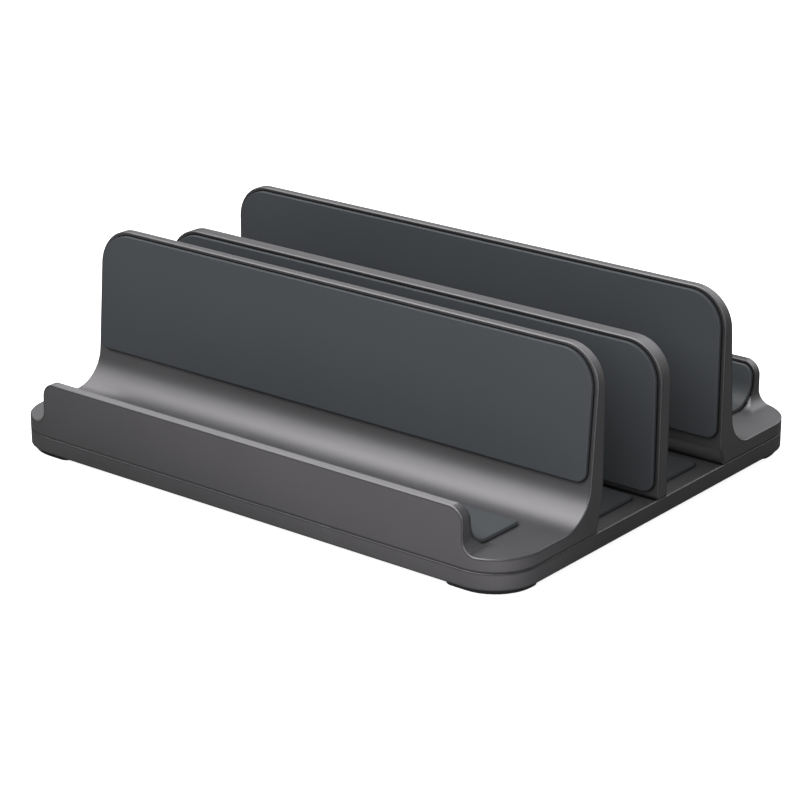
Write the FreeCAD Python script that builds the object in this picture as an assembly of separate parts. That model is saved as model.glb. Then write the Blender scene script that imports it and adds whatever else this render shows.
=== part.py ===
import FreeCAD, Part
import math
import os

# Vertical laptop stand, millimetres. X runs along the walls, Y from the front lip to the
# rear lip, Z up. The origin is under the middle of the stand, level with the soles of the feet.

# Plan, front to rear: ledge, slot, middle wall, slot, ledge.
LENGTH = 200.6
FRONT_LEDGE_DEPTH = 48.4
FRONT_SLOT_WIDTH = 29.8
MIDDLE_WALL_THICKNESS = 5.0
REAR_SLOT_WIDTH = 30.4
REAR_LEDGE_DEPTH = 48.0
PLAN_RADIUS = 15.4

# Heights, each above the piece that it stands on.
FOOT_HEIGHT = 1.5
PLATE_THICKNESS = 5.8
TRAY_THICKNESS = 4.5
LIP_HEIGHT = 18.8
OUTER_WALL_HEIGHT = 57.6
MIDDLE_WALL_HEIGHT = 50.1

# Sections of the two ledges.
LIP_THICKNESS = 3.2
LIP_ROOT = 4.7
LIP_CORNER_RADIUS = 5.0
LIP_FOOT_RADIUS = 4.5
LIP_FILLET = 8.0
FRONT_SCOOP_RADIUS = 12.3
REAR_SCOOP_RADIUS = 11.0
WALL_TIP_THICKNESS = 3.0
FRONT_WALL_ROOT = 7.4
REAR_WALL_ROOT = 7.1
WALL_CORNER_RADIUS = 12.5

# The slot faces of the outer walls are set back at the foot, to clear the edge of a laptop.
FRONT_RELIEF_DEPTH = 2.5
FRONT_RELIEF_TOP = 10.2
FRONT_RELIEF_FOOT = 1.2
FRONT_RELIEF_RADIUS = 18.0
REAR_RELIEF_DEPTH = 2.1
REAR_RELIEF_TOP = 5.4
REAR_RELIEF_FOOT = 1.2
REAR_RELIEF_RADIUS = 3.0

# Bevels of the machined pieces.
EDGE_BREAK = 0.3
PLATE_TOP_BEVEL = 0.3
PLATE_BOTTOM_BEVEL = 0.6

# Silicone pads on the walls.
PAD_THICKNESS = 1.2
PAD_RIM_BEVEL = 0.4
PAD_TOP_MARGIN = 1.3
PAD_END_MARGIN = 1.6
PAD_LOWER_RADIUS = 3.5
FRONT_FACE_PAD_FOOT = 12.0
REAR_FACE_PAD_FOOT = 11.5
FRONT_SLOT_PAD_FOOT = 13.0
REAR_SLOT_PAD_FOOT = 9.0
MIDDLE_PAD_FOOT = 2.2

# Silicone liners of the trays and of the slot floors.
LINER_THICKNESS = 1.2
LINER_END_MARGIN = 0.6
LINER_TOP_MARGIN = 1.1
LINER_BEND_CLEARANCE = 0.3
LINER_CORNER_RADIUS = 1.0
FRONT_LINER_REACH = 28.2
REAR_LINER_REACH = 29.8
FLOOR_PAD_THICKNESS = 1.0
FLOOR_PAD_END_MARGIN = 6.6
FLOOR_PAD_SIDE_MARGIN = 3.1
FLOOR_PAD_RADIUS = 2.0
FLOOR_PAD_RIM_BEVEL = 0.3

# Corner feet, glued into shallow pockets under the plate.
FOOT_INSET = 1.4
FOOT_LENGTH = 22.5
FOOT_WIDTH = 18.0
FOOT_POCKET = 0.8
POCKET_CLEARANCE = 0.2
FOOT_INNER_RADIUS = 3.0
FOOT_RIM_BEVEL = 0.5

# Screws that hold the ledges and the middle wall down from under the plate.
SCREWS_PER_ROW = 3
SCREW_ROW_MARGIN = 28.0
LEDGE_SCREW_SETBACK = 3.6
LEDGE_SCREW_RADIUS = 2.0
LEDGE_SCREW_GRIP = 6.0
WALL_SCREW_RADIUS = 1.5
WALL_SCREW_GRIP = 8.0
SCREW_HEAD_RATIO = 1.75
SCREW_HEAD_HEIGHT = 2.2
SCREW_HEAD_SINK = 0.6
SCREW_SOCKET_RATIO = 0.7
SCREW_SOCKET_DEPTH = 1.3
SCREW_CLEARANCE = 0.3
HEAD_CLEARANCE = 0.4
THREAD_CLEARANCE = 0.1
TIP_CLEARANCE = 1.0

# Places that follow from the sizes.
depth = FRONT_LEDGE_DEPTH + FRONT_SLOT_WIDTH + MIDDLE_WALL_THICKNESS + REAR_SLOT_WIDTH + REAR_LEDGE_DEPTH
half_length = LENGTH / 2
front_y = -depth / 2
rear_y = depth / 2
front_wall_y = front_y + FRONT_LEDGE_DEPTH
middle_front_y = front_wall_y + FRONT_SLOT_WIDTH
middle_rear_y = middle_front_y + MIDDLE_WALL_THICKNESS
rear_wall_y = rear_y - REAR_LEDGE_DEPTH
plate_top = FOOT_HEIGHT + PLATE_THICKNESS
tray_top = plate_top + TRAY_THICKNESS
lip_top = plate_top + LIP_HEIGHT
outer_wall_top = plate_top + OUTER_WALL_HEIGHT
middle_wall_top = plate_top + MIDDLE_WALL_HEIGHT
lip_half = half_length - PLAN_RADIUS
lip_rise = lip_top - tray_top
lip_lean = math.atan((LIP_ROOT - LIP_THICKNESS) / lip_rise)
lip_zone = LIP_ROOT + LIP_FILLET + LIP_FOOT_RADIUS
OVERSHOOT = 1.0


def along_x(x):
    """Places a side profile of (y, z) at the section x."""
    return lambda y, z: FreeCAD.Vector(x, y, z)


def along_y(y):
    """Places an end outline of (x, z) at the section y."""
    return lambda x, z: FreeCAD.Vector(x, y, z)


def along_z(z):
    """Places a plan outline of (x, y) at the height z."""
    return lambda x, y: FreeCAD.Vector(x, y, z)


def rounded_face(corners, place):
    """Flat face through corners (a, b, radius), with a tangent arc at each rounded corner."""
    points = [place(a, b) for a, b, radius in corners]
    bends = []
    for index, (a, b, radius) in enumerate(corners):
        corner = points[index]
        if radius <= 0:
            bends.append((corner, None, corner))
            continue
        back = (points[index - 1] - corner).normalize()
        ahead = (points[(index + 1) % len(points)] - corner).normalize()
        half_angle = back.getAngle(ahead) / 2
        start = corner + back * (radius / math.tan(half_angle))
        end = corner + ahead * (radius / math.tan(half_angle))
        inward = (back + ahead).normalize()
        middle = corner + inward * (radius / math.sin(half_angle) - radius)
        bends.append((start, middle, end))
    edges = []
    for index, (start, middle, end) in enumerate(bends):
        if middle is not None:
            edges.append(Part.Arc(start, middle, end).toShape())
        following = bends[(index + 1) % len(bends)][0]
        edges.append(Part.LineSegment(end, following).toShape())
    return Part.Face(Part.Wire(edges))


def side_prism(corners, reach=half_length):
    """Bar along X with the given side profile."""
    return rounded_face(corners, along_x(-reach)).extrude(FreeCAD.Vector(2 * reach, 0, 0))


def end_prism(corners, low_y, high_y):
    """Bar along Y with the given end outline."""
    return rounded_face(corners, along_y(low_y)).extrude(FreeCAD.Vector(0, high_y - low_y, 0))


def plan_prism(corners, low_z, high_z):
    """Plate with the given plan outline."""
    return rounded_face(corners, along_z(low_z)).extrude(FreeCAD.Vector(0, 0, high_z - low_z))


def rectangle(low_a, high_a, low_b, high_b, low_radius, high_radius):
    """Corners of a rectangle, with one radius at both low corners and one at both high corners."""
    return [
        (low_a, low_b, low_radius),
        (high_a, low_b, low_radius),
        (high_a, high_b, high_radius),
        (low_a, high_b, high_radius),
    ]


def edges_where(shape, test):
    """Edges whose every point passes the test."""
    return [edge for edge in shape.Edges if all(test(point) for point in edge.discretize(5))]


def near(value, target):
    return abs(value - target) < 0.01


stand_plan = rectangle(-half_length, half_length, front_y, rear_y, PLAN_RADIUS, PLAN_RADIUS)


def ledge_body(profile, face_y, inward):
    """Ledge with its lip, tray and wall: a profiled bar trimmed to the plan and to its end outlines."""
    zone_y = face_y + inward * lip_zone
    body = side_prism(profile)
    body = body.common(plan_prism(stand_plan, 0, outer_wall_top + OVERSHOOT))
    wall_outline = rectangle(-half_length, half_length, 0, outer_wall_top, 0, WALL_CORNER_RADIUS)
    body = body.common(end_prism(wall_outline, front_y, rear_y))
    outside = half_length + OVERSHOOT
    above = lip_top + OVERSHOOT
    corner_end = lip_half - LIP_CORNER_RADIUS - OVERSHOOT
    right_waste = [
        (outside, tray_top, 0),
        (lip_half, tray_top, LIP_FOOT_RADIUS),
        (lip_half, lip_top, LIP_CORNER_RADIUS),
        (corner_end, lip_top, 0),
        (corner_end, above, 0),
        (outside, above, 0),
    ]
    for side in (-1, 1):
        waste_corners = [(side * x, z, radius) for x, z, radius in right_waste]
        body = body.cut(end_prism(waste_corners, min(face_y, zone_y), max(face_y, zone_y)))

    def on_face_top(point):
        return near(point.z, lip_top) and near(point.y, face_y)

    def on_wall_top(point):
        return near(point.z, outer_wall_top)

    broken = edges_where(body, lambda p: on_wall_top(p) or on_face_top(p))
    return body.makeChamfer(EDGE_BREAK, broken)


def wall_pad(face_y, outward, wall_top, foot, lean=0.0):
    """Pad on a wall face, with its front edges bevelled; lean tips it back with the face, in degrees."""
    reach = half_length - PAD_END_MARGIN
    upper_radius = WALL_CORNER_RADIUS - PAD_TOP_MARGIN
    outline = rectangle(-reach, reach, foot - wall_top, -PAD_TOP_MARGIN, PAD_LOWER_RADIUS, upper_radius)
    pad = end_prism(outline, 0, outward * PAD_THICKNESS)
    rim = edges_where(pad, lambda p: near(p.y, outward * PAD_THICKNESS))
    pad = pad.makeChamfer(PAD_RIM_BEVEL, rim)
    pad.rotate(FreeCAD.Vector(0, 0, 0), FreeCAD.Vector(1, 0, 0), outward * lean)
    pad.translate(FreeCAD.Vector(0, face_y, wall_top))
    return pad


def tray_liner(face_y, inward, reach_y):
    """Bent liner: up the inner face of a lip and out over the tray floor."""
    top = lip_top - LINER_TOP_MARGIN
    bend = LIP_FILLET + LINER_BEND_CLEARANCE
    skin_z = tray_top + LINER_THICKNESS

    def back_y(z):
        return face_y + inward * (LIP_ROOT - (z - tray_top) * math.tan(lip_lean))

    def skin_y(z):
        return back_y(z) + inward * LINER_THICKNESS / math.cos(lip_lean)

    profile = [
        (back_y(top), top, 0),
        (back_y(tray_top), tray_top, bend),
        (reach_y, tray_top, 0),
        (reach_y, skin_z, 0),
        (skin_y(skin_z), skin_z, bend - LINER_THICKNESS),
        (skin_y(top), top, 0),
    ]
    reach = lip_half - LINER_END_MARGIN
    end_outline = rectangle(-reach, reach, tray_top, top, 0, LIP_CORNER_RADIUS - LINER_TOP_MARGIN)
    plan_outline = rectangle(-reach, reach, face_y, reach_y, 0, LINER_CORNER_RADIUS)
    liner = side_prism(profile, reach)
    liner = liner.common(end_prism(end_outline, front_y, rear_y))
    liner = liner.common(plan_prism(plan_outline, tray_top, top))
    rim = edges_where(liner, lambda p: near(p.y, skin_y(top)) and near(p.z, top))
    return liner.makeChamfer(PAD_RIM_BEVEL, rim)


def floor_pad(low_y, high_y):
    """Pad on the plate at the bottom of a slot."""
    reach = half_length - FLOOR_PAD_END_MARGIN
    outline = rectangle(-reach, reach, low_y, high_y, FLOOR_PAD_RADIUS, FLOOR_PAD_RADIUS)
    pad = plan_prism(outline, plate_top, plate_top + FLOOR_PAD_THICKNESS)
    rim = edges_where(pad, lambda p: near(p.z, plate_top + FLOOR_PAD_THICKNESS))
    return pad.makeChamfer(FLOOR_PAD_RIM_BEVEL, rim)


def corner_outline(side_x, side_y, growth=0.0):
    """Plan of the foot in one corner; the outer corner follows the corner of the plate."""
    outer_x = half_length - FOOT_INSET
    outer_y = rear_y - FOOT_INSET
    inner_x = outer_x - FOOT_LENGTH
    inner_y = outer_y - FOOT_WIDTH
    outer_radius = PLAN_RADIUS - FOOT_INSET
    corners = [
        (inner_x - growth, inner_y - growth, FOOT_INNER_RADIUS + growth),
        (outer_x + growth, inner_y - growth, FOOT_INNER_RADIUS + growth),
        (outer_x + growth, outer_y + growth, outer_radius + growth),
        (inner_x - growth, outer_y + growth, FOOT_INNER_RADIUS + growth),
    ]
    return [(side_x * x, side_y * y, radius) for x, y, radius in corners]


def foot(side_x, side_y):
    """Corner foot, with its sole edge bevelled."""
    body = plan_prism(corner_outline(side_x, side_y), 0, FOOT_HEIGHT + FOOT_POCKET)
    return body.makeChamfer(FOOT_RIM_BEVEL, edges_where(body, lambda p: near(p.z, 0)))


def cylinder(radius, low_z, high_z, x, y):
    return Part.makeCylinder(radius, high_z - low_z, FreeCAD.Vector(x, y, low_z))


def screw_places():
    """Places of the screws of one row along the stand."""
    first = SCREW_ROW_MARGIN - half_length
    step = -2 * first / (SCREWS_PER_ROW - 1)
    return [first + index * step for index in range(SCREWS_PER_ROW)]


head_seat = FOOT_HEIGHT + SCREW_HEAD_SINK + SCREW_HEAD_HEIGHT


def plate_hole(radius, x, y):
    """Stepped hole in the plate for one screw."""
    counterbore = cylinder(radius * SCREW_HEAD_RATIO + HEAD_CLEARANCE, 0, head_seat, x, y)
    return counterbore.fuse(cylinder(radius + SCREW_CLEARANCE, 0, plate_top + OVERSHOOT, x, y))


def thread_hole(radius, grip, x, y):
    """Blind hole in the piece that one screw holds."""
    hole_end = plate_top + grip + TIP_CLEARANCE
    return cylinder(radius + THREAD_CLEARANCE, plate_top - OVERSHOOT, hole_end, x, y)


def screw(radius, grip, x, y):
    """Cap screw from underneath, its head seated in the plate, with a hexagon socket."""
    head = cylinder(radius * SCREW_HEAD_RATIO, head_seat - SCREW_HEAD_HEIGHT, head_seat, x, y)
    body = head.fuse(cylinder(radius, head_seat, plate_top + grip, x, y)).removeSplitter()
    socket_radius = radius * SCREW_SOCKET_RATIO
    hexagon = []
    for index in range(6):
        turn = math.radians(60 * index)
        hexagon.append((x + socket_radius * math.cos(turn), y + socket_radius * math.sin(turn), 0))
    low = head_seat - SCREW_HEAD_HEIGHT
    return body.cut(plan_prism(hexagon, low - OVERSHOOT, low + SCREW_SOCKET_DEPTH))


def screw_row(radius, grip, y):
    return Part.makeCompound([screw(radius, grip, x, y) for x in screw_places()])


def fix_down(piece, plate, radius, grip, y):
    """Piece and plate with the holes of one row of screws."""
    for x in screw_places():
        piece = piece.cut(thread_hole(radius, grip, x, y))
        plate = plate.cut(plate_hole(radius, x, y))
    return piece, plate


# Base plate: one flat plate with rounded corners and bevelled edges.
base_plate = plan_prism(stand_plan, FOOT_HEIGHT, plate_top)
bottom_edges = edges_where(base_plate, lambda p: near(p.z, FOOT_HEIGHT))
base_plate = base_plate.makeChamfer(PLATE_BOTTOM_BEVEL, bottom_edges)
top_edges = edges_where(base_plate, lambda p: near(p.z, plate_top))
base_plate = base_plate.makeChamfer(PLATE_TOP_BEVEL, top_edges)

# Front ledge: lip, tray, scoop and tapered wall in one piece.
front_profile = [
    (front_y, plate_top, 0),
    (front_y, lip_top, 0),
    (front_y + LIP_THICKNESS, lip_top, EDGE_BREAK),
    (front_y + LIP_ROOT, tray_top, LIP_FILLET),
    (front_wall_y - FRONT_WALL_ROOT, tray_top, FRONT_SCOOP_RADIUS),
    (front_wall_y - WALL_TIP_THICKNESS, outer_wall_top, 0),
    (front_wall_y, outer_wall_top, 0),
    (front_wall_y, plate_top + FRONT_RELIEF_TOP, FRONT_RELIEF_RADIUS),
    (front_wall_y - FRONT_RELIEF_DEPTH, plate_top + FRONT_RELIEF_FOOT, EDGE_BREAK),
    (front_wall_y - FRONT_RELIEF_DEPTH, plate_top, 0),
]
front_ledge = ledge_body(front_profile, front_y, 1)

# Rear ledge: the same make, with a slightly tighter scoop.
rear_profile = [
    (rear_y, plate_top, 0),
    (rear_y, lip_top, 0),
    (rear_y - LIP_THICKNESS, lip_top, EDGE_BREAK),
    (rear_y - LIP_ROOT, tray_top, LIP_FILLET),
    (rear_wall_y + REAR_WALL_ROOT, tray_top, REAR_SCOOP_RADIUS),
    (rear_wall_y + WALL_TIP_THICKNESS, outer_wall_top, 0),
    (rear_wall_y, outer_wall_top, 0),
    (rear_wall_y, plate_top + REAR_RELIEF_TOP, REAR_RELIEF_RADIUS),
    (rear_wall_y + REAR_RELIEF_DEPTH, plate_top + REAR_RELIEF_FOOT, REAR_RELIEF_RADIUS / 2),
    (rear_wall_y + REAR_RELIEF_DEPTH, plate_top, 0),
]
rear_ledge = ledge_body(rear_profile, rear_y, -1)

# Middle wall: a flat upright plate, lower than the outer walls.
middle_outline = rectangle(-half_length, half_length, plate_top, middle_wall_top, 0, WALL_CORNER_RADIUS)
middle_wall = end_prism(middle_outline, middle_front_y, middle_rear_y)
top_edges = edges_where(middle_wall, lambda p: near(p.z, middle_wall_top))
middle_wall = middle_wall.makeChamfer(EDGE_BREAK, top_edges)

# Screw rows: one under the root of each wall.
front_row_y = front_wall_y - FRONT_RELIEF_DEPTH - LEDGE_SCREW_SETBACK
middle_row_y = (middle_front_y + middle_rear_y) / 2
rear_row_y = rear_wall_y + REAR_RELIEF_DEPTH + LEDGE_SCREW_SETBACK
ledge_screw = (LEDGE_SCREW_RADIUS, LEDGE_SCREW_GRIP)
wall_screw = (WALL_SCREW_RADIUS, WALL_SCREW_GRIP)
front_ledge, base_plate = fix_down(front_ledge, base_plate, *ledge_screw, front_row_y)
middle_wall, base_plate = fix_down(middle_wall, base_plate, *wall_screw, middle_row_y)
rear_ledge, base_plate = fix_down(rear_ledge, base_plate, *ledge_screw, rear_row_y)
front_ledge_screws = screw_row(*ledge_screw, front_row_y)
middle_wall_screws = screw_row(*wall_screw, middle_row_y)
rear_ledge_screws = screw_row(*ledge_screw, rear_row_y)

# Feet: one in each corner, let into the plate.
feet = {}
for name, side_x, side_y in (
    ("foot_front_left", -1, -1),
    ("foot_front_right", 1, -1),
    ("foot_rear_left", -1, 1),
    ("foot_rear_right", 1, 1),
):
    feet[name] = foot(side_x, side_y)
    pocket = plan_prism(corner_outline(side_x, side_y, POCKET_CLEARANCE), 0, FOOT_HEIGHT + FOOT_POCKET)
    base_plate = base_plate.cut(pocket)

# Pads on both faces of each wall. The outer faces lean with the taper of the walls.
outer_wall_rise = outer_wall_top - tray_top
front_lean = math.degrees(math.atan((FRONT_WALL_ROOT - WALL_TIP_THICKNESS) / outer_wall_rise))
rear_lean = math.degrees(math.atan((REAR_WALL_ROOT - WALL_TIP_THICKNESS) / outer_wall_rise))
front_tip_y = front_wall_y - WALL_TIP_THICKNESS
rear_tip_y = rear_wall_y + WALL_TIP_THICKNESS
front_pad_foot = tray_top + FRONT_FACE_PAD_FOOT
rear_pad_foot = tray_top + REAR_FACE_PAD_FOOT
middle_pad_foot = plate_top + MIDDLE_PAD_FOOT

# Pads on the plate, one along the bottom of each slot.
front_slot_low_y = front_wall_y + FLOOR_PAD_SIDE_MARGIN
front_slot_high_y = middle_front_y - FLOOR_PAD_SIDE_MARGIN
rear_slot_low_y = middle_rear_y + FLOOR_PAD_SIDE_MARGIN
rear_slot_high_y = rear_wall_y - FLOOR_PAD_SIDE_MARGIN

nodes = {
    "base_plate": base_plate,
    "front_ledge": front_ledge,
    "middle_wall": middle_wall,
    "rear_ledge": rear_ledge,
    "front_wall_pad_front": wall_pad(front_tip_y, -1, outer_wall_top, front_pad_foot, front_lean),
    "front_wall_pad_rear": wall_pad(front_wall_y, 1, outer_wall_top, plate_top + FRONT_SLOT_PAD_FOOT),
    "middle_wall_pad_front": wall_pad(middle_front_y, -1, middle_wall_top, middle_pad_foot),
    "middle_wall_pad_rear": wall_pad(middle_rear_y, 1, middle_wall_top, middle_pad_foot),
    "rear_wall_pad_front": wall_pad(rear_wall_y, -1, outer_wall_top, plate_top + REAR_SLOT_PAD_FOOT),
    "rear_wall_pad_rear": wall_pad(rear_tip_y, 1, outer_wall_top, rear_pad_foot, rear_lean),
    "front_tray_liner": tray_liner(front_y, 1, front_y + FRONT_LINER_REACH),
    "rear_tray_liner": tray_liner(rear_y, -1, rear_y - REAR_LINER_REACH),
    "slot_floor_pad_front": floor_pad(front_slot_low_y, front_slot_high_y),
    "slot_floor_pad_rear": floor_pad(rear_slot_low_y, rear_slot_high_y),
    "front_ledge_screws": front_ledge_screws,
    "middle_wall_screws": middle_wall_screws,
    "rear_ledge_screws": rear_ledge_screws,
}
nodes.update(feet)

os.makedirs("parts", exist_ok=True)
for name, shape in nodes.items():
    shape.exportStep(os.path.join("parts", name + ".step"))
    print(name, "valid" if shape.isValid() else "not valid", len(shape.Solids), round(shape.Volume, 1))
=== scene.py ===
import math

import bmesh
import bpy
from mathutils import Matrix, Vector


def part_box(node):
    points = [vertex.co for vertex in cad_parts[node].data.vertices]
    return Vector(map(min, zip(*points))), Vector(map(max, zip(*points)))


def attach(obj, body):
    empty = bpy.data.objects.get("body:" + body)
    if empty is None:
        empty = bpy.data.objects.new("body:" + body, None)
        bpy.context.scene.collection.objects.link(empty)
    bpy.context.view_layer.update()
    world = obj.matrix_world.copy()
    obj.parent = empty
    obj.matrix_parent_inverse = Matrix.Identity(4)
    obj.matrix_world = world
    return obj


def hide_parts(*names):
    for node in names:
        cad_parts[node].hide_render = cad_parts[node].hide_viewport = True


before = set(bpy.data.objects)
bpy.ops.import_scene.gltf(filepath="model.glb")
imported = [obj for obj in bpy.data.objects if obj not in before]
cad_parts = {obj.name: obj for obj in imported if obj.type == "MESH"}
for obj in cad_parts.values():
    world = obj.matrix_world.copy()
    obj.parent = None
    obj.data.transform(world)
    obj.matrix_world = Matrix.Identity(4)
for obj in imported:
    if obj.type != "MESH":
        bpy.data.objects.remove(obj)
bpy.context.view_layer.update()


# Base plate. A flat aluminium plate with rounded corners, cut to size, bead-blasted and dyed
# dark grey in the anodising bath. Everything else is screwed or glued to it.
def number_in(tree, name, default):
    """Gives a node tree a named number as an input."""
    item = tree.interface.new_socket(name=name, in_out="INPUT", socket_type="NodeSocketFloat")
    item.default_value = default


def number_out(tree, name):
    """Gives a node tree a named number as an output."""
    tree.interface.new_socket(name=name, in_out="OUTPUT", socket_type="NodeSocketFloat")


def fed(tree, value, socket):
    """Feeds an input with the output of another node, or with a plain value."""
    if isinstance(value, bpy.types.NodeSocket):
        tree.links.new(value, socket)
    else:
        socket.default_value = value


def maths(tree, operation, *values):
    """Result of an operation on up to three numbers."""
    node = tree.nodes.new("ShaderNodeMath")
    node.operation = operation
    for socket, value in zip(node.inputs, values):
        fed(tree, value, socket)
    return node.outputs[0]


def vector(tree, **parts):
    """Vector put together from its X, Y and Z, where one that isn't given is 0."""
    node = tree.nodes.new("ShaderNodeCombineXYZ")
    for axis, value in parts.items():
        fed(tree, value, node.inputs[axis])
    return node.outputs[0]


def parted(tree, whole):
    """X, Y and Z of a vector."""
    node = tree.nodes.new("ShaderNodeSeparateXYZ")
    tree.links.new(whole, node.inputs[0])
    return node.outputs


def ramped(tree, value, start, end, low=0.0, high=1.0):
    """Number that goes from low to high while the value goes from start to end."""
    node = tree.nodes.new("ShaderNodeMapRange")
    for name, limit in (("From Min", start), ("From Max", end), ("To Min", low), ("To Max", high)):
        node.inputs[name].default_value = limit
    tree.links.new(value, node.inputs["Value"])
    return node.outputs["Result"]


def blended(tree, factor, first, second):
    """Colour that goes from the first to the second as the factor goes from 0 to 1."""
    node = tree.nodes.new("ShaderNodeMix")
    node.data_type = "RGBA"
    fed(tree, factor, node.inputs["Factor"])
    fed(tree, first, node.inputs["A"])
    fed(tree, second, node.inputs["B"])
    return node.outputs["Result"]


def opaque(colour, share=1.0):
    """Colour with its alpha, made darker or paler by a share."""
    return (*(channel * share for channel in colour), 1.0)


def blasted_grain_group():
    """Fine pitted grain of a blasted surface: a height and a tone, both in object space."""
    tree = bpy.data.node_groups.new("Blasted grain", "ShaderNodeTree")
    number_in(tree, "Grain size", 0.0004)
    number_in(tree, "Cloud size", 0.03)
    number_out(tree, "Height")
    number_out(tree, "Tone")
    given = tree.nodes.new("NodeGroupInput")
    made = tree.nodes.new("NodeGroupOutput")
    place = tree.nodes.new("ShaderNodeTexCoord")
    for size, detail, roughness, result in (
        ("Grain size", 2.0, 0.6, "Height"),
        ("Cloud size", 3.0, 0.5, "Tone"),
    ):
        noise = tree.nodes.new("ShaderNodeTexNoise")
        noise.inputs["Detail"].default_value = detail
        noise.inputs["Roughness"].default_value = roughness
        fed(tree, place.outputs["Object"], noise.inputs["Vector"])
        fed(tree, maths(tree, "DIVIDE", 1.0, given.outputs[size]), noise.inputs["Scale"])
        fed(tree, noise.outputs["Fac"], made.inputs[result])
    return tree


def painted_edge_shade_group():
    """Mask of upright convex edges, for painted shade that damps the highlight on their bevels and for a
    rougher finish there.
    """
    tree = bpy.data.node_groups.new("Edge shade", "ShaderNodeTree")
    number_in(tree, "Radius", 0.001)
    number_out(tree, "Edge")
    given = tree.nodes.new("NodeGroupInput")
    made = tree.nodes.new("NodeGroupOutput")
    thinness = tree.nodes.new("ShaderNodeAmbientOcclusion")
    thinness.inside = True
    thinness.only_local = True
    thinness.samples = 8
    fed(tree, given.outputs["Radius"], thinness.inputs["Distance"])
    thin = ramped(tree, thinness.outputs["AO"], 0.9, 0.8)
    facing = tree.nodes.new("ShaderNodeNewGeometry")
    upright = ramped(tree, parted(tree, facing.outputs["Normal"])["Z"], 0.55, 0.2)
    fed(tree, maths(tree, "MULTIPLY", thin, upright), made.inputs["Edge"])
    return tree


def painted_seam_shade_group():
    """Mask of narrow corners beside a pad or a joint, which the light hardly reaches, for painted shade
    there.
    """
    tree = bpy.data.node_groups.new("Seam", "ShaderNodeTree")
    number_in(tree, "Reach", 0.0016)
    number_out(tree, "Seam")
    given = tree.nodes.new("NodeGroupInput")
    made = tree.nodes.new("NodeGroupOutput")
    closeness = tree.nodes.new("ShaderNodeAmbientOcclusion")
    closeness.samples = 8
    fed(tree, given.outputs["Reach"], closeness.inputs["Distance"])
    close = ramped(tree, closeness.outputs["AO"], 0.93, 0.65)

    # The bevels at 45 degrees along a joint get only a fifth of the painted shade.
    facing = tree.nodes.new("ShaderNodeNewGeometry")
    tilt = maths(tree, "ABSOLUTE", parted(tree, facing.outputs["Normal"])["Z"])
    bevelled = maths(tree, "COMPARE", tilt, math.sqrt(0.5), 0.1)
    kept = maths(tree, "MULTIPLY_ADD", bevelled, -0.8, 1.0)
    fed(tree, maths(tree, "MULTIPLY", close, kept), made.inputs["Seam"])
    return tree


def lip_crown_group():
    """Normal of the metal, leant a little outwards on the tops of the two lips, which are crowned."""
    tree = bpy.data.node_groups.new("Lip crown", "ShaderNodeTree")
    tree.interface.new_socket(name="Normal", in_out="INPUT", socket_type="NodeSocketVector")
    number_in(tree, "Lip height", 0.0261)
    number_in(tree, "Lean for a metre out", 2.6)
    tree.interface.new_socket(name="Normal", in_out="OUTPUT", socket_type="NodeSocketVector")
    given = tree.nodes.new("NodeGroupInput")
    made = tree.nodes.new("NodeGroupOutput")
    place = tree.nodes.new("ShaderNodeTexCoord")
    spot = parted(tree, place.outputs["Object"])
    level = maths(tree, "COMPARE", spot["Z"], given.outputs["Lip height"], 0.0001)
    facing = tree.nodes.new("ShaderNodeNewGeometry")
    upwards = maths(tree, "GREATER_THAN", parted(tree, facing.outputs["True Normal"])["Z"], 0.9)
    on_top = maths(tree, "MULTIPLY", level, upwards)
    amount = maths(tree, "MULTIPLY", on_top, given.outputs["Lean for a metre out"])
    lean = vector(tree, Y=maths(tree, "MULTIPLY", amount, spot["Y"]))
    leant = tree.nodes.new("ShaderNodeVectorMath")
    leant.operation = "ADD"
    fed(tree, given.outputs["Normal"], leant.inputs[0])
    fed(tree, lean, leant.inputs[1])
    unit = tree.nodes.new("ShaderNodeVectorMath")
    unit.operation = "NORMALIZE"
    fed(tree, leant.outputs["Vector"], unit.inputs[0])
    fed(tree, unit.outputs["Vector"], made.inputs["Normal"])
    return tree


blasted_grain = blasted_grain_group()
painted_edge_shade = painted_edge_shade_group()
painted_seam_shade = painted_seam_shade_group()
lip_crown = lip_crown_group()


def placed_group(tree, group, **numbers):
    """Places a node group in a tree. An input with a space in its name is given with a low line."""
    node = tree.nodes.new("ShaderNodeGroup")
    node.node_tree = group
    for name, number in numbers.items():
        node.inputs[name.replace("_", " ")].default_value = number
    return node


def plain_material(name):
    """New material with its node tree and its shader."""
    material = bpy.data.materials.new(name)
    material.use_nodes = True
    return material, material.node_tree, material.node_tree.nodes["Principled BSDF"]


def edge_rounding(tree, radius):
    """Normal that rounds the sharp edges of a solid by a small radius."""
    node = tree.nodes.new("ShaderNodeBevel")
    node.samples = 6
    node.inputs["Radius"].default_value = radius
    return node.outputs["Normal"]


def bumped(tree, height, strength, depth):
    """Bump node for a height, with its strength and its depth."""
    node = tree.nodes.new("ShaderNodeBump")
    node.inputs["Strength"].default_value = strength
    node.inputs["Distance"].default_value = depth
    fed(tree, height, node.inputs["Height"])
    return node


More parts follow.
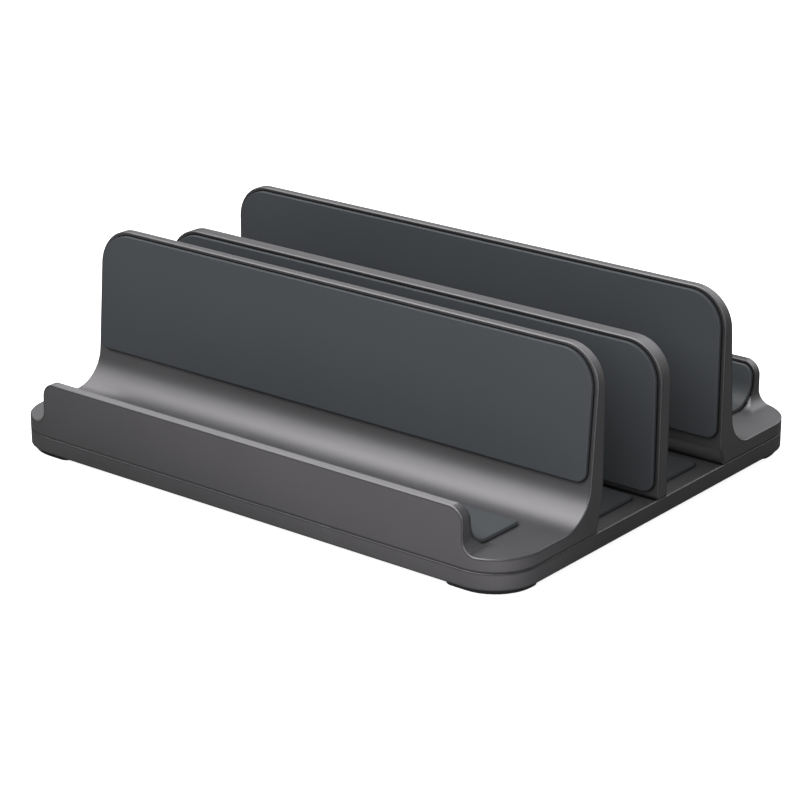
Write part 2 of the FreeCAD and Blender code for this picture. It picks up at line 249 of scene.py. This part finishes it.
def anodised(name, colour, edge_shade_colour, seam_shade_colour, roughness, edge_radius):
    """Blasted and dyed aluminium: half-matt metal with a fine grain and a cloudy tone, with painted
    shade on its upright edges and in its narrow corners, and rougher edges.
    """
    material, tree, shader = plain_material(name)
    shader.inputs["Metallic"].default_value = 0.78
    shader.inputs["Specular IOR Level"].default_value = 0.2
    grain = placed_group(tree, blasted_grain)
    edge = placed_group(tree, painted_edge_shade, Radius=edge_radius)
    seam = placed_group(tree, painted_seam_shade)
    dyed = blended(tree, grain.outputs["Tone"], opaque(colour, 0.93), opaque(colour, 1.07))
    # Painted shade: upright convex edges are darkened to damp the highlight that their bevels catch.
    edge_shaded = blended(tree, edge.outputs["Edge"], dyed, opaque(edge_shade_colour))
    # Painted shade: the seam mask turns the metal's colour nearly black in narrow corners beside pads
    # and joints.
    shaded = blended(tree, seam.outputs["Seam"], edge_shaded, opaque(seam_shade_colour))
    fed(tree, shaded, shader.inputs["Base Color"])
    rough = ramped(tree, grain.outputs["Tone"], 0.0, 1.0, roughness - 0.03, roughness + 0.03)
    rubbed = maths(tree, "MULTIPLY_ADD", edge.outputs["Edge"], 0.4, rough)
    fed(tree, rubbed, shader.inputs["Roughness"])
    bump = bumped(tree, grain.outputs["Height"], 0.25, 0.00003)
    crown = placed_group(tree, lip_crown)
    fed(tree, edge_rounding(tree, edge_radius * 0.2), crown.inputs["Normal"])
    fed(tree, crown.outputs["Normal"], bump.inputs["Normal"])
    fed(tree, bump.outputs["Normal"], shader.inputs["Normal"])
    return material


def finished(name, material):
    """Gives the named solid its finish."""
    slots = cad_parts[name].data.materials
    slots.clear()
    slots.append(material)


dark_anodising = anodised(
    "Dark anodising",
    colour=(0.177, 0.173, 0.179),
    # Painted shade: the edge colour below is darker than the metal, to damp the highlight on upright
    # edges.
    edge_shade_colour=(0.09, 0.088, 0.091),
    # Painted shade: the seam colour below is painted into narrow corners beside pads and joints.
    seam_shade_colour=(0.014, 0.014, 0.015),
    roughness=0.42,
    edge_radius=0.001,
)
finished("base_plate", dark_anodising)


# Feet. A soft black rubber foot in each corner, moulded to the curve of the plate and glued
# into a shallow pocket under it.
def rubber(name, colour, roughness, speckle):
    """Moulded rubber or silicone: matt, with a faint cloudy tone and a fine tooth."""
    material, tree, shader = plain_material(name)
    shader.inputs["Specular IOR Level"].default_value = 0.35
    grain = placed_group(tree, blasted_grain, Grain_size=speckle, Cloud_size=0.05)
    tone = blended(tree, grain.outputs["Tone"], opaque(colour, 0.94), opaque(colour, 1.06))
    fed(tree, tone, shader.inputs["Base Color"])
    rough = ramped(tree, grain.outputs["Tone"], 0.0, 1.0, roughness - 0.04, roughness + 0.04)
    fed(tree, rough, shader.inputs["Roughness"])
    bump = bumped(tree, grain.outputs["Height"], 0.2, 0.00004)
    fed(tree, edge_rounding(tree, 0.0003), bump.inputs["Normal"])
    fed(tree, bump.outputs["Normal"], shader.inputs["Normal"])
    return material


def coated(tree, geometry, given, made):
    """Ends a geometry tree: real meshes instead of instances, in the material that was given."""
    whole = tree.nodes.new("GeometryNodeRealizeInstances")
    fed(tree, geometry, whole.inputs["Geometry"])
    coat = tree.nodes.new("GeometryNodeSetMaterial")
    fed(tree, whole.outputs["Geometry"], coat.inputs["Geometry"])
    fed(tree, given.outputs["Material"], coat.inputs["Material"])
    fed(tree, coat.outputs["Geometry"], made.inputs["Geometry"])


def welded(tree, geometry, distance):
    """Mesh with the points that lie closer than the distance joined."""
    node = tree.nodes.new("GeometryNodeMergeByDistance")
    node.inputs["Distance"].default_value = distance
    fed(tree, geometry, node.inputs["Geometry"])
    return node.outputs["Geometry"]


def moulded_rubber_tree():
    """Slab of moulded rubber with rounded corners and a rounded upper rim, flat on the XY plane."""
    tree = bpy.data.node_groups.new("Moulded rubber", "GeometryNodeTree")
    number_in(tree, "Width", 0.02)
    number_in(tree, "Height", 0.02)
    number_in(tree, "Thickness", 0.001)
    number_in(tree, "Rim radius", 0.0004)
    number_in(tree, "Upper right radius", 0.003)
    number_in(tree, "Upper left radius", 0.003)
    number_in(tree, "Lower radius", 0.003)
    tree.interface.new_socket(name="Material", in_out="INPUT", socket_type="NodeSocketMaterial")
    tree.interface.new_socket(name="Geometry", in_out="OUTPUT", socket_type="NodeSocketGeometry")
    nodes, links = tree.nodes, tree.links
    given = nodes.new("NodeGroupInput")
    made = nodes.new("NodeGroupOutput")

    def chosen(test, if_true, if_false):
        """One of two numbers, as the test says."""
        node = nodes.new("GeometryNodeSwitch")
        node.input_type = "FLOAT"
        links.new(test, node.inputs["Switch"])
        links.new(if_false, node.inputs["False"])
        links.new(if_true, node.inputs["True"])
        return node.outputs["Output"]

    # Outline, with its own radius at each corner.
    outline = nodes.new("GeometryNodeCurvePrimitiveQuadrilateral")
    links.new(given.outputs["Width"], outline.inputs["Width"])
    links.new(given.outputs["Height"], outline.inputs["Height"])
    corner = parted(tree, nodes.new("GeometryNodeInputPosition").outputs[0])
    right = maths(tree, "GREATER_THAN", corner["X"], 0.0)
    upper = maths(tree, "GREATER_THAN", corner["Y"], 0.0)
    upper_radius = chosen(
        right,
        given.outputs["Upper right radius"],
        given.outputs["Upper left radius"],
    )
    fillet = nodes.new("GeometryNodeFilletCurve")
    fillet.mode = "POLY"
    fillet.inputs["Count"].default_value = 10
    links.new(outline.outputs["Curve"], fillet.inputs["Curve"])
    links.new(chosen(upper, upper_radius, given.outputs["Lower radius"]), fillet.inputs["Radius"])

    # Section of the rim: up the side, then a quarter turn inwards.
    rim = given.outputs["Rim radius"]
    side_top = maths(tree, "SUBTRACT", given.outputs["Thickness"], rim)
    side_end = maths(tree, "MULTIPLY", side_top, -1.0)
    side = nodes.new("GeometryNodeCurvePrimitiveLine")
    side.inputs["Start"].default_value = (0.0, 0.0, 0.0)
    links.new(vector(tree, Y=side_end), side.inputs["End"])
    turn = nodes.new("GeometryNodeCurveArc")
    turn.mode = "RADIUS"
    turn.inputs["Resolution"].default_value = 7
    turn.inputs["Sweep Angle"].default_value = -math.pi / 2
    links.new(rim, turn.inputs["Radius"])
    turn_place = nodes.new("GeometryNodeTransform")
    links.new(turn.outputs["Curve"], turn_place.inputs["Geometry"])
    turn_middle = vector(tree, X=maths(tree, "MULTIPLY", rim, -1.0), Y=side_end)
    links.new(turn_middle, turn_place.inputs["Translation"])
    swept = nodes.new("GeometryNodeJoinGeometry")
    for section in (turn_place.outputs["Geometry"], side.outputs["Curve"]):
        sweep = nodes.new("GeometryNodeCurveToMesh")
        links.new(fillet.outputs["Curve"], sweep.inputs["Curve"])
        links.new(section, sweep.inputs["Profile Curve"])
        links.new(sweep.outputs["Mesh"], swept.inputs["Geometry"])
    wall = welded(tree, swept.outputs["Geometry"], 0.000001)

    # Faces that close the two ends of the wall.
    neighbours = nodes.new("GeometryNodeInputMeshEdgeNeighbors")
    open_edge = nodes.new("FunctionNodeCompare")
    open_edge.data_type = "INT"
    open_edge.operation = "EQUAL"
    open_edge.inputs["B"].default_value = 1
    links.new(neighbours.outputs["Face Count"], open_edge.inputs["A"])
    loops = nodes.new("GeometryNodeMeshToCurve")
    links.new(wall, loops.inputs["Mesh"])
    links.new(open_edge.outputs["Result"], loops.inputs["Selection"])
    closed = nodes.new("GeometryNodeJoinGeometry")
    links.new(wall, closed.inputs["Geometry"])
    height = parted(tree, nodes.new("GeometryNodeInputPosition").outputs[0])["Z"]
    half_way = maths(tree, "MULTIPLY", given.outputs["Thickness"], 0.5)
    for side_of_middle, cap_height in (("GREATER_THAN", given.outputs["Thickness"]), ("LESS_THAN", 0.0)):
        apart = nodes.new("GeometryNodeSeparateGeometry")
        apart.domain = "CURVE"
        links.new(loops.outputs["Curve"], apart.inputs["Geometry"])
        links.new(maths(tree, side_of_middle, height, half_way), apart.inputs["Selection"])
        cap = nodes.new("GeometryNodeFillCurve")
        cap.mode = "NGONS"
        links.new(apart.outputs["Selection"], cap.inputs["Curve"])
        lift = nodes.new("GeometryNodeTransform")
        links.new(cap.outputs["Mesh"], lift.inputs["Geometry"])
        links.new(vector(tree, Z=cap_height), lift.inputs["Translation"])
        links.new(lift.outputs["Geometry"], closed.inputs["Geometry"])
    coated(tree, welded(tree, closed.outputs["Geometry"], 0.000002), given, made)
    return tree


def grown(name, tree, sizes):
    """Plain mesh object made by a geometry tree with the named sizes."""
    seed = bpy.data.meshes.new(name)
    piece = bpy.data.objects.new(name, seed)
    bpy.context.collection.objects.link(piece)
    maker = piece.modifiers.new("Maker", "NODES")
    maker.node_group = tree
    for item in tree.interface.items_tree:
        if item.in_out == "INPUT" and item.name in sizes:
            maker[item.identifier] = sizes[item.name]
    bpy.context.view_layer.update()
    worked = piece.evaluated_get(bpy.context.evaluated_depsgraph_get())
    mesh = bpy.data.meshes.new_from_object(worked)
    piece.modifiers.remove(maker)
    piece.data = mesh
    bpy.data.meshes.remove(seed)
    return piece


def rounded_off(piece):
    """Turns every face outwards and shades the rounded rim smooth."""
    shell = bmesh.new()
    shell.from_mesh(piece.data)
    bmesh.ops.remove_doubles(shell, verts=shell.verts, dist=0.000001)
    bmesh.ops.recalc_face_normals(shell, faces=shell.faces)
    for face in shell.faces:
        face.smooth = True
    shell.to_mesh(piece.data)
    shell.free()
    piece.data.set_sharp_from_angle(angle=math.radians(32))


foot_rubber = rubber("Foot rubber", (0.018, 0.018, 0.019), 0.6, 0.0003)
moulded_rubber = moulded_rubber_tree()
foot_rim = 0.0007
foot_outer_radius = 0.014
foot_inner_radius = 0.003
for name in ("foot_front_left", "foot_front_right", "foot_rear_left", "foot_rear_right"):
    low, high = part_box(name)
    side_x = -1.0 if "left" in name else 1.0
    side_y = -1.0 if "front" in name else 1.0
    piece = grown(name + "_rubber", moulded_rubber, {
        "Width": high.x - low.x,
        "Height": high.y - low.y,
        "Thickness": high.z - low.z,
        "Rim radius": foot_rim,
        "Upper right radius": foot_outer_radius,
        "Upper left radius": foot_inner_radius,
        "Lower radius": foot_inner_radius,
        "Material": foot_rubber,
    })
    middle = (low + high) / 2
    turned = Matrix(((side_x, 0, 0), (0, side_y, 0), (0, 0, -1.0))).to_4x4()
    piece.data.transform(Matrix.Translation((middle.x, middle.y, high.z)) @ turned)
    rounded_off(piece)
    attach(piece, "root")
    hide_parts(name)


# Ledges. The front and the rear ledge each have a lip, a tray and a tapered wall, all cut from
# one aluminium extrusion, milled at its ends and finished as the plate is.
finished("front_ledge", dark_anodising)
finished("rear_ledge", dark_anodising)


# Middle wall. A flat aluminium bar on edge with rounded upper corners, from the same bath. It
# parts the two slots.
finished("middle_wall", dark_anodising)


# Screws. Zinc-plated steel cap screws in three rows, driven up through the plate into the two
# ledges and the middle wall. Their heads sink into counterbores in its underside.
def plated_steel():
    """Turned steel with a thin plated skin: bright, a little cloudy, and finely pitted."""
    material, tree, shader = plain_material("Plated steel")
    shader.inputs["Metallic"].default_value = 1.0
    grain = placed_group(tree, blasted_grain, Grain_size=0.0002, Cloud_size=0.004)
    tone = blended(tree, grain.outputs["Tone"], opaque((0.3, 0.3, 0.31)), opaque((0.42, 0.42, 0.42)))
    fed(tree, tone, shader.inputs["Base Color"])
    fed(tree, ramped(tree, grain.outputs["Tone"], 0.0, 1.0, 0.25, 0.4), shader.inputs["Roughness"])
    bump = bumped(tree, grain.outputs["Height"], 0.2, 0.00002)
    fed(tree, bump.outputs["Normal"], shader.inputs["Normal"])
    return material


def screw_row_tree():
    """Row of cap screws along X, heads down, each turned from a section and with a hexagon socket."""
    tree = bpy.data.node_groups.new("Screw row", "GeometryNodeTree")
    count = tree.interface.new_socket(name="Count", in_out="INPUT", socket_type="NodeSocketInt")
    count.default_value = 3
    number_in(tree, "Spacing", 0.07)
    number_in(tree, "Head radius", 0.0035)
    number_in(tree, "Head height", 0.0022)
    number_in(tree, "Shank radius", 0.002)
    number_in(tree, "Length", 0.012)
    number_in(tree, "Chamfer", 0.0003)
    number_in(tree, "Socket radius", 0.0014)
    number_in(tree, "Socket depth", 0.0013)
    tree.interface.new_socket(name="Material", in_out="INPUT", socket_type="NodeSocketMaterial")
    tree.interface.new_socket(name="Geometry", in_out="OUTPUT", socket_type="NodeSocketGeometry")
    nodes, links = tree.nodes, tree.links
    given = nodes.new("NodeGroupInput")
    made = nodes.new("NodeGroupOutput")

    # Turned body: a section swept round the rim of the flat underside of the head.
    head = given.outputs["Head radius"]
    shank = given.outputs["Shank radius"]
    chamfer = given.outputs["Chamfer"]
    tip = given.outputs["Length"]
    flat = maths(tree, "SUBTRACT", head, chamfer)
    rim = nodes.new("GeometryNodeCurvePrimitiveCircle")
    rim.inputs["Resolution"].default_value = 48
    links.new(flat, rim.inputs["Radius"])
    section = [
        (flat, 0.0),
        (head, chamfer),
        (head, given.outputs["Head height"]),
        (shank, given.outputs["Head height"]),
        (shank, maths(tree, "SUBTRACT", tip, chamfer)),
        (maths(tree, "SUBTRACT", shank, chamfer), tip),
        (0.0, tip),
    ]
    corners = []
    for out, up in section:
        inwards = maths(tree, "SUBTRACT", out, flat)
        corners.append(vector(tree, X=inwards, Y=maths(tree, "MULTIPLY", up, -1.0)))
    shells = nodes.new("GeometryNodeJoinGeometry")
    for low, high in zip(corners, corners[1:]):
        side = nodes.new("GeometryNodeCurvePrimitiveLine")
        links.new(low, side.inputs["Start"])
        links.new(high, side.inputs["End"])
        turned = nodes.new("GeometryNodeCurveToMesh")
        links.new(rim.outputs["Curve"], turned.inputs["Curve"])
        links.new(side.outputs["Curve"], turned.inputs["Profile Curve"])
        links.new(turned.outputs["Mesh"], shells.inputs["Geometry"])

    # Underside of the head, with the mouth of the socket left open, and the socket behind it.
    mouth = nodes.new("GeometryNodeCurvePrimitiveCircle")
    mouth.inputs["Resolution"].default_value = 6
    links.new(given.outputs["Socket radius"], mouth.inputs["Radius"])
    outlines = nodes.new("GeometryNodeJoinGeometry")
    links.new(rim.outputs["Curve"], outlines.inputs["Geometry"])
    links.new(mouth.outputs["Curve"], outlines.inputs["Geometry"])
    underside = nodes.new("GeometryNodeFillCurve")
    links.new(outlines.outputs["Geometry"], underside.inputs["Curve"])
    links.new(underside.outputs["Mesh"], shells.inputs["Geometry"])
    opening = nodes.new("GeometryNodeFillCurve")
    opening.mode = "NGONS"
    links.new(mouth.outputs["Curve"], opening.inputs["Curve"])
    broached = nodes.new("GeometryNodeExtrudeMesh")
    links.new(opening.outputs["Mesh"], broached.inputs["Mesh"])
    links.new(vector(tree, Z=1.0), broached.inputs["Offset"])
    links.new(given.outputs["Socket depth"], broached.inputs["Offset Scale"])
    links.new(broached.outputs["Mesh"], shells.inputs["Geometry"])
    screw = welded(tree, shells.outputs["Geometry"], 0.000005)

    # The row.
    row = nodes.new("GeometryNodeMeshLine")
    links.new(given.outputs["Count"], row.inputs["Count"])
    links.new(vector(tree, X=given.outputs["Spacing"]), row.inputs["Offset"])
    placed = nodes.new("GeometryNodeInstanceOnPoints")
    links.new(row.outputs["Mesh"], placed.inputs["Points"])
    links.new(screw, placed.inputs["Instance"])
    coated(tree, placed.outputs["Instances"], given, made)
    return tree


screw_steel = plated_steel()
screw_row = screw_row_tree()
screws_in_a_row = 3
head_height = 0.0022
screw_chamfer = 0.0003
socket_depth = 0.0013
socket_share_of_shank = 0.7
for name, shank_radius in (("front_ledge", 0.002), ("middle_wall", 0.0015), ("rear_ledge", 0.002)):
    low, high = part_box(name + "_screws")
    head_radius = (high.y - low.y) / 2
    piece = grown(name + "_cap_screws", screw_row, {
        "Count": screws_in_a_row,
        "Spacing": (high.x - low.x - 2 * head_radius) / (screws_in_a_row - 1),
        "Head radius": head_radius,
        "Head height": head_height,
        "Shank radius": shank_radius,
        "Length": high.z - low.z,
        "Chamfer": screw_chamfer,
        "Socket radius": shank_radius * socket_share_of_shank,
        "Socket depth": socket_depth,
        "Material": screw_steel,
    })
    piece.data.transform(Matrix.Translation((low.x + head_radius, (low.y + high.y) / 2, low.z)))
    rounded_off(piece)
    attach(piece, "root")
    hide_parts(name + "_screws")


# Pads on the walls and on the slot floors. Dark silicone sheets, moulded with a rounded rim
# and bonded on, so that a laptop never touches the metal.
silicone = rubber("Silicone", (0.056, 0.061, 0.067), 0.55, 0.0004)
pad_thickness = 0.0012
pad_rim = 0.0004
pad_upper_radius = 0.0112
pad_lower_radius = 0.0035
floor_pad_radius = 0.002


def soft_finish(piece, name):
    """Ends a silicone piece, which stands for the named solid."""
    rounded_off(piece)
    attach(piece, "root")
    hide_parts(name)


def bonded_pad(name, width, height, thickness, upper_radius, lower_radius, axes):
    """Pad for the named solid, with its sizes in its own plane and the axes of that plane."""
    piece = grown(name + "_silicone", moulded_rubber, {
        "Width": width,
        "Height": height,
        "Thickness": thickness,
        "Rim radius": pad_rim,
        "Upper right radius": upper_radius,
        "Upper left radius": upper_radius,
        "Lower radius": lower_radius,
        "Material": silicone,
    })
    low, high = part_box(name)
    sunk = Matrix.Translation((0.0, 0.0, -thickness / 2))
    piece.data.transform(Matrix.Translation((low + high) / 2) @ axes @ sunk)
    soft_finish(piece, name)


def wall_pad(name, outward):
    """Pad on a wall, leaning as the wall does; outward is the way that it faces along Y."""
    low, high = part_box(name)
    across = high - low
    lean = 0.0
    for _ in range(4):
        run = across.y - pad_thickness * math.cos(lean)
        rise = across.z - pad_thickness * math.sin(lean)
        lean = math.atan2(run, rise)
    height = (across.z - pad_thickness * math.sin(lean)) / math.cos(lean)
    upwards = Vector((0.0, -outward * math.sin(lean), math.cos(lean)))
    facing = Vector((0.0, outward * math.cos(lean), math.sin(lean)))
    axes = Matrix((upwards.cross(facing), upwards, facing)).transposed().to_4x4()
    bonded_pad(name, across.x, height, pad_thickness, pad_upper_radius, pad_lower_radius, axes)


for name in ("front_wall_pad_front", "middle_wall_pad_front", "rear_wall_pad_front"):
    wall_pad(name, -1)
for name in ("front_wall_pad_rear", "middle_wall_pad_rear", "rear_wall_pad_rear"):
    wall_pad(name, 1)
for name in ("slot_floor_pad_front", "slot_floor_pad_rear"):
    low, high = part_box(name)
    width, depth, thickness = high - low
    bonded_pad(name, width, depth, thickness, floor_pad_radius, floor_pad_radius, Matrix.Identity(4))


# Tray liners. The same silicone, moulded flat and bonded up the inside of each lip, round
# its fillet and out over the tray. Its colour is painted paler than the pads', as painted light on its
# upward faces.
paler_liner_silicone = rubber("Liner silicone painted paler", (0.083, 0.09, 0.096), 0.5, 0.0004)
liner_thickness = 0.0012
liner_rim = 0.0004
liner_upper_radius = 0.0039
liner_far_radius = 0.001
liner_bend = 0.0083
lip_draft = math.atan(1.5 / 14.3)
corner_steps = 8
straight_steps = 6
bend_steps = 16
floor_steps = 4
rim_steps = 6


def bent_liner(name, inward):
    """Liner that stands for the named solid; inward is the way that its lip's inner face looks."""
    low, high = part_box(name)
    lip_foot = low.y if inward > 0 else high.y
    reach = high.y - low.y
    half_width = (high.x - low.x) / 2
    turn = math.pi / 2 - lip_draft
    drop = (high.z - low.z) / math.cos(lip_draft)
    tangent = liner_bend * math.tan(turn / 2)
    straight = drop - tangent
    bend_run = liner_bend * turn
    floor_run = reach - drop * math.sin(lip_draft) - tangent
    total = straight + bend_run + floor_run
    lip_head = Vector((lip_foot, high.z))
    down = Vector((inward * math.sin(lip_draft), -math.cos(lip_draft)))

    def looking(angle):
        """Way out of the bonded face, where it leans by the angle."""
        return Vector((inward * math.cos(angle), math.sin(angle)))

    bend_centre = lip_head + down * straight + looking(lip_draft) * liner_bend
    floor_start = bend_centre - Vector((0.0, 1.0)) * liner_bend

    def seat(along, out):
        """Place at a distance along the bonded face and a height out of it."""
        if along < straight:
            facing = lip_draft
            base = lip_head + down * along
        elif along < straight + bend_run:
            facing = lip_draft + (along - straight) / liner_bend
            base = bend_centre - looking(facing) * liner_bend
        else:
            facing = math.pi / 2
            base = floor_start + Vector((inward, 0.0)) * (along - straight - bend_run)
        return base + looking(facing) * out

    # Rows across the liner, from the lip's head to the far edge on the tray.
    rows = []
    for step in range(corner_steps + 1):
        rows.append(("upper", math.pi / 2 * step / corner_steps))
    for step in range(1, straight_steps):
        share = step / straight_steps
        rows.append(("run", liner_upper_radius + (straight - liner_upper_radius) * share))
    for step in range(bend_steps + 1):
        rows.append(("run", straight + bend_run * step / bend_steps))
    for step in range(1, floor_steps):
        share = step / floor_steps
        rows.append(("run", straight + bend_run + (floor_run - liner_far_radius) * share))
    for step in range(corner_steps + 1):
        rows.append(("far", math.pi / 2 * step / corner_steps))

    def right_half(inset, out):
        """Right half of the ring at one inset from the outline and one height."""
        half = []
        for kind, value in rows:
            if kind == "upper":
                radius = max(liner_upper_radius - inset, 0.0)
                along = liner_upper_radius - radius * math.cos(value)
                across = half_width - liner_upper_radius + radius * math.sin(value)
            elif kind == "far":
                radius = max(liner_far_radius - inset, 0.0)
                along = total - liner_far_radius + radius * math.sin(value)
                across = half_width - liner_far_radius + radius * math.cos(value)
            else:
                along = value
                across = half_width - inset
            y, z = seat(along, out)
            half.append((across, y, z))
        return half

    # Levels from the bonded face up the side and round the rim.
    levels = [(0.0, 0.0)]
    for step in range(rim_steps + 1):
        angle = math.pi / 2 * step / rim_steps
        inset = liner_rim * (1 - math.cos(angle))
        levels.append((inset, liner_thickness - liner_rim * (1 - math.sin(angle))))
    shell = bmesh.new()
    rings = []
    for inset, out in levels:
        half = right_half(inset, out)
        ring = [shell.verts.new(place) for place in half]
        ring += [shell.verts.new((-x, y, z)) for x, y, z in reversed(half)]
        rings.append(ring)
    count = len(rings[0])
    for inner, outer in zip(rings, rings[1:]):
        for index in range(count):
            following = (index + 1) % count
            shell.faces.new((inner[index], inner[following], outer[following], outer[index]))
    for ring in (rings[0], rings[-1]):
        for index in range(len(rows) - 1):
            opposite = count - 1 - index
            shell.faces.new((ring[index], ring[index + 1], ring[opposite - 1], ring[opposite]))
    mesh = bpy.data.meshes.new(name + "_silicone")
    shell.to_mesh(mesh)
    shell.free()
    mesh.materials.append(paler_liner_silicone)
    piece = bpy.data.objects.new(name + "_silicone", mesh)
    bpy.context.collection.objects.link(piece)
    soft_finish(piece, name)


bent_liner("front_tray_liner", 1)
bent_liner("rear_tray_liner", -1)


# Studio. A plain pale floor and nine soft boxes in a ring round the stand. The floor mirrors
# little in the stand, as a sheet of frosted glass over a dark bench would.
floor_half = 6.0
floor_drop = 0.0002
floor_corners = [
    (-floor_half, -floor_half, 0.0),
    (floor_half, -floor_half, 0.0),
    (floor_half, floor_half, 0.0),
    (-floor_half, floor_half, 0.0),
]
floor_mesh = bpy.data.meshes.new("studio_floor")
floor_mesh.from_pydata(floor_corners, [], [(0, 1, 2, 3)])
floor = bpy.data.objects.new("studio_floor", floor_mesh)
bpy.context.collection.objects.link(floor)
floor.location.z = -floor_drop


def pale_floor():
    """Floor that is pale where it is looked at, and that the stand mirrors dimly, more so in front."""
    material, tree, shader = plain_material("Pale floor")
    shader.inputs["Roughness"].default_value = 1.0
    shader.inputs["Specular IOR Level"].default_value = 0.0
    shader.inputs["Emission Strength"].default_value = 1.0
    ray = tree.nodes.new("ShaderNodeLightPath")
    looked_at = ray.outputs["Is Camera Ray"]
    place = tree.nodes.new("ShaderNodeTexCoord")
    forward = tree.nodes.new("ShaderNodeVectorMath")
    forward.operation = "DOT_PRODUCT"
    forward.inputs[1].default_value = (0.35, -0.94, 0.0)
    fed(tree, place.outputs["Object"], forward.inputs[0])
    in_front = ramped(tree, forward.outputs["Value"], 0.06, 0.12)
    mirrored = blended(tree, in_front, opaque((0.1, 0.1, 0.1)), opaque((0.39, 0.38, 0.39)))
    tint = blended(tree, looked_at, mirrored, opaque((0.86, 0.86, 0.86)))
    glow = blended(tree, looked_at, opaque((0.0, 0.0, 0.0)), opaque((0.85, 0.85, 0.85)))
    fed(tree, tint, shader.inputs["Base Color"])
    fed(tree, glow, shader.inputs["Emission Color"])
    return material


floor_mesh.materials.append(pale_floor())

box_distance = 1.2
box_width = 0.9
box_height = 0.9
low_box_height = 0.6
low_box_rise = 20
stand_middle = Vector((0.0, 0.0, 0.03))


def soft_box(name, turn, rise, power):
    """Soft box that faces the stand, with its turn from X and its rise in degrees."""
    around, above = math.radians(turn), math.radians(rise)
    outward = Vector((
        math.cos(around) * math.cos(above),
        math.sin(around) * math.cos(above),
        math.sin(above),
    ))
    lamp = bpy.data.lights.new(name, "AREA")
    lamp.shape = "RECTANGLE"
    lamp.size = box_width
    lamp.size_y = box_height if rise > low_box_rise else low_box_height
    lamp.energy = power
    box = bpy.data.objects.new(name, lamp)
    bpy.context.collection.objects.link(box)
    box.location = stand_middle + outward * box_distance
    box.rotation_euler = (-outward).to_track_quat("-Z", "Y").to_euler()


soft_box("Camera side fill", 316, 14, 5.0)
soft_box("Front light", 271, 42, 8.6)
soft_box("Front left light", 226, 48, 4.2)
soft_box("High left light", 181, 62, 6.2)
soft_box("High back light", 136, 62, 4.6)
soft_box("Low back light", 136, 38, 1.7)
soft_box("Rear light", 84, 30, 4.4)
soft_box("Right rear light", 46, 14, 0.6)
soft_box("Right light", 1, 14, 0.5)

air = bpy.data.worlds.new("Studio air")
air.use_nodes = True
air.node_tree.nodes["Background"].inputs["Strength"].default_value = 0.0
bpy.context.scene.world = air
bpy.context.scene.view_settings.view_transform = "Standard"


# Camera. A long lens from the front right, a little above the stand.
camera_turn = math.radians(38.508)
camera_rise = math.radians(20.369)
camera_target = Vector((0.0003, -0.0058, 0.0365))
camera_sideways = 0.001627
camera_drop = 0.017494
camera_distance = 0.87809
camera_back = Vector((
    math.sin(camera_turn) * math.cos(camera_rise),
    -math.cos(camera_turn) * math.cos(camera_rise),
    math.sin(camera_rise),
))
camera_right = Vector((math.cos(camera_turn), math.sin(camera_turn), 0.0))
camera_up = camera_back.cross(camera_right)
camera_place = (
    camera_target
    + camera_right * camera_sideways
    - camera_up * camera_drop
    + camera_back * camera_distance
)
sensor_width = 36.0
frame_width_in_pixels = 800.0
focal_length_in_pixels = 2729.28
lens = bpy.data.cameras.new("Camera")
lens.sensor_width = sensor_width
lens.lens = sensor_width * focal_length_in_pixels / frame_width_in_pixels
camera = bpy.data.objects.new("Camera", lens)
bpy.context.collection.objects.link(camera)
camera_axes = Matrix((camera_right, camera_up, camera_back)).transposed().to_4x4()
camera.matrix_world = Matrix.Translation(camera_place) @ camera_axes
bpy.context.scene.camera = camera
